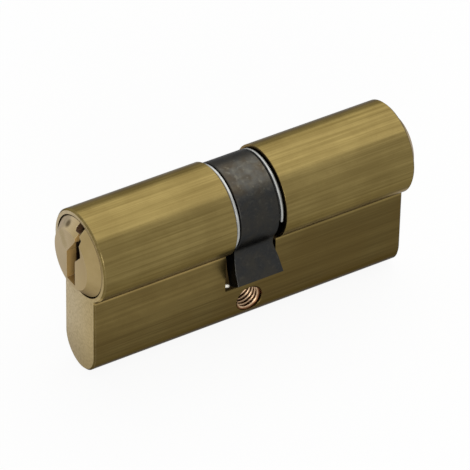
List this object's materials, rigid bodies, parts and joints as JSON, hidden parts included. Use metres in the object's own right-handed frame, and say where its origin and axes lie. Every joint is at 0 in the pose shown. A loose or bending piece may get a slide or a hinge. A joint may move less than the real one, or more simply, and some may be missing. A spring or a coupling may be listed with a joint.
{
  "type": "lock cylinder",
  "caption": "Double lock cylinder with a round head, a flat leg, a keyed plug at each end, a turning cam in its middle and a cross hole for the fixing screw.",
  "frame": {"origin": "centre of the fixing screw hole, halfway through the leg", "axes": "+X along the cylinder from the front plug to the rear plug, +Y through the screw hole, +Z from the leg up to the round head"},
  "size_m": [0.0654, 0.017, 0.0325],
  "materials": {
    "body_brass": "brushed lengthwise",
    "plug_brass": "turned",
    "cam_oxide": "black oxide",
    "clip_steel": "bright",
    "pin_steel": "ground",
    "spring_wire": "drawn wire"
  },
  "bodies": {
    "housing": {"body": "body_brass", "front_spring_1": "spring_wire", "front_spring_2": "spring_wire", "front_spring_3": "spring_wire", "front_spring_4": "spring_wire", "front_spring_5": "spring_wire", "rear_spring_1": "spring_wire", "rear_spring_2": "spring_wire", "rear_spring_3": "spring_wire", "rear_spring_4": "spring_wire", "rear_spring_5": "spring_wire", "front_stopper_1": "body_brass", "front_stopper_2": "body_brass", "front_stopper_3": "body_brass", "front_stopper_4": "body_brass", "front_stopper_5": "body_brass", "rear_stopper_1": "body_brass", "rear_stopper_2": "body_brass", "rear_stopper_3": "body_brass", "rear_stopper_4": "body_brass", "rear_stopper_5": "body_brass"},
    "front_plug": {"front_plug": "plug_brass", "front_clip": "clip_steel"},
    "rear_plug": {"rear_plug": "plug_brass", "rear_clip": "clip_steel"},
    "cam": {"cam": "cam_oxide"},
    "front_coupler": {"front_coupler": "pin_steel"},
    "rear_coupler": {"rear_coupler": "pin_steel"},
    "front_key_pin_1": {"front_key_pin_1": "plug_brass"},
    "front_key_pin_2": {"front_key_pin_2": "plug_brass"},
    "front_key_pin_3": {"front_key_pin_3": "plug_brass"},
    "front_key_pin_4": {"front_key_pin_4": "plug_brass"},
    "front_key_pin_5": {"front_key_pin_5": "plug_brass"},
    "rear_key_pin_1": {"rear_key_pin_1": "plug_brass"},
    "rear_key_pin_2": {"rear_key_pin_2": "plug_brass"},
    "rear_key_pin_3": {"rear_key_pin_3": "plug_brass"},
    "rear_key_pin_4": {"rear_key_pin_4": "plug_brass"},
    "rear_key_pin_5": {"rear_key_pin_5": "plug_brass"},
    "front_driver_1": {"front_driver_1": "pin_steel"},
    "front_driver_2": {"front_driver_2": "pin_steel"},
    "front_driver_3": {"front_driver_3": "pin_steel"},
    "front_driver_4": {"front_driver_4": "pin_steel"},
    "front_driver_5": {"front_driver_5": "pin_steel"},
    "rear_driver_1": {"rear_driver_1": "pin_steel"},
    "rear_driver_2": {"rear_driver_2": "pin_steel"},
    "rear_driver_3": {"rear_driver_3": "pin_steel"},
    "rear_driver_4": {"rear_driver_4": "pin_steel"},
    "rear_driver_5": {"rear_driver_5": "pin_steel"}
  },
  "joints": [
    {"name": "front_plug_spin", "type": "hinge", "parent": "housing", "child": "front_plug", "pos_m": [0, 0, 0.0184], "axis": [1, 0, 0], "continuous": true},
    {"name": "rear_plug_spin", "type": "hinge", "parent": "housing", "child": "rear_plug", "pos_m": [0, 0, 0.0184], "axis": [1, 0, 0], "continuous": true},
    {"name": "cam_spin", "type": "hinge", "parent": "housing", "child": "cam", "pos_m": [0, 0, 0.0184], "axis": [1, 0, 0], "continuous": true},
    {"name": "front_coupler_slide", "type": "slide", "parent": "front_plug", "child": "front_coupler", "axis": [-1, 0, 0], "range_m": [0, 0.003]},
    {"name": "rear_coupler_slide", "type": "slide", "parent": "rear_plug", "child": "rear_coupler", "axis": [-1, 0, 0], "range_m": [0, 0.003]},
    {"name": "front_key_pin_1_slide", "type": "slide", "parent": "front_plug", "child": "front_key_pin_1", "axis": [0, 0, 1], "range_m": [0, 0.0015]},
    {"name": "front_key_pin_2_slide", "type": "slide", "parent": "front_plug", "child": "front_key_pin_2", "axis": [0, 0, 1], "range_m": [0, 0.0015]},
    {"name": "front_key_pin_3_slide", "type": "slide", "parent": "front_plug", "child": "front_key_pin_3", "axis": [0, 0, 1], "range_m": [0, 0.0015]},
    {"name": "front_key_pin_4_slide", "type": "slide", "parent": "front_plug", "child": "front_key_pin_4", "axis": [0, 0, 1], "range_m": [0, 0.0015]},
    {"name": "front_key_pin_5_slide", "type": "slide", "parent": "front_plug", "child": "front_key_pin_5", "axis": [0, 0, 1], "range_m": [0, 0.0015]},
    {"name": "rear_key_pin_1_slide", "type": "slide", "parent": "rear_plug", "child": "rear_key_pin_1", "axis": [0, 0, 1], "range_m": [0, 0.0015]},
    {"name": "rear_key_pin_2_slide", "type": "slide", "parent": "rear_plug", "child": "rear_key_pin_2", "axis": [0, 0, 1], "range_m": [0, 0.0015]},
    {"name": "rear_key_pin_3_slide", "type": "slide", "parent": "rear_plug", "child": "rear_key_pin_3", "axis": [0, 0, 1], "range_m": [0, 0.0015]},
    {"name": "rear_key_pin_4_slide", "type": "slide", "parent": "rear_plug", "child": "rear_key_pin_4", "axis": [0, 0, 1], "range_m": [0, 0.0015]},
    {"name": "rear_key_pin_5_slide", "type": "slide", "parent": "rear_plug", "child": "rear_key_pin_5", "axis": [0, 0, 1], "range_m": [0, 0.0015]},
    {"name": "front_driver_1_slide", "type": "slide", "parent": "housing", "child": "front_driver_1", "axis": [0, 0, 1], "range_m": [-0.002, 0], "stiffness_N_per_m": 120, "springref_m": 0.001, "deforming": ["front_spring_1"]},
    {"name": "front_driver_2_slide", "type": "slide", "parent": "housing", "child": "front_driver_2", "axis": [0, 0, 1], "range_m": [-0.002, 0], "stiffness_N_per_m": 120, "springref_m": 0.001, "deforming": ["front_spring_2"]},
    {"name": "front_driver_3_slide", "type": "slide", "parent": "housing", "child": "front_driver_3", "axis": [0, 0, 1], "range_m": [-0.002, 0], "stiffness_N_per_m": 120, "springref_m": 0.001, "deforming": ["front_spring_3"]},
    {"name": "front_driver_4_slide", "type": "slide", "parent": "housing", "child": "front_driver_4", "axis": [0, 0, 1], "range_m": [-0.002, 0], "stiffness_N_per_m": 120, "springref_m": 0.001, "deforming": ["front_spring_4"]},
    {"name": "front_driver_5_slide", "type": "slide", "parent": "housing", "child": "front_driver_5", "axis": [0, 0, 1], "range_m": [-0.002, 0], "stiffness_N_per_m": 120, "springref_m": 0.001, "deforming": ["front_spring_5"]},
    {"name": "rear_driver_1_slide", "type": "slide", "parent": "housing", "child": "rear_driver_1", "axis": [0, 0, 1], "range_m": [-0.002, 0], "stiffness_N_per_m": 120, "springref_m": 0.001, "deforming": ["rear_spring_1"]},
    {"name": "rear_driver_2_slide", "type": "slide", "parent": "housing", "child": "rear_driver_2", "axis": [0, 0, 1], "range_m": [-0.002, 0], "stiffness_N_per_m": 120, "springref_m": 0.001, "deforming": ["rear_spring_2"]},
    {"name": "rear_driver_3_slide", "type": "slide", "parent": "housing", "child": "rear_driver_3", "axis": [0, 0, 1], "range_m": [-0.002, 0], "stiffness_N_per_m": 120, "springref_m": 0.001, "deforming": ["rear_spring_3"]},
    {"name": "rear_driver_4_slide", "type": "slide", "parent": "housing", "child": "rear_driver_4", "axis": [0, 0, 1], "range_m": [-0.002, 0], "stiffness_N_per_m": 120, "springref_m": 0.001, "deforming": ["rear_spring_4"]},
    {"name": "rear_driver_5_slide", "type": "slide", "parent": "housing", "child": "rear_driver_5", "axis": [0, 0, 1], "range_m": [-0.002, 0], "stiffness_N_per_m": 120, "springref_m": 0.001, "deforming": ["rear_spring_5"]}
  ],
  "couplings": [
    {"joint": "cam_spin", "follows": "front_plug_spin", "ratio": 1},
    {"joint": "rear_coupler_slide", "follows": "front_coupler_slide", "ratio": 1}
  ]
}
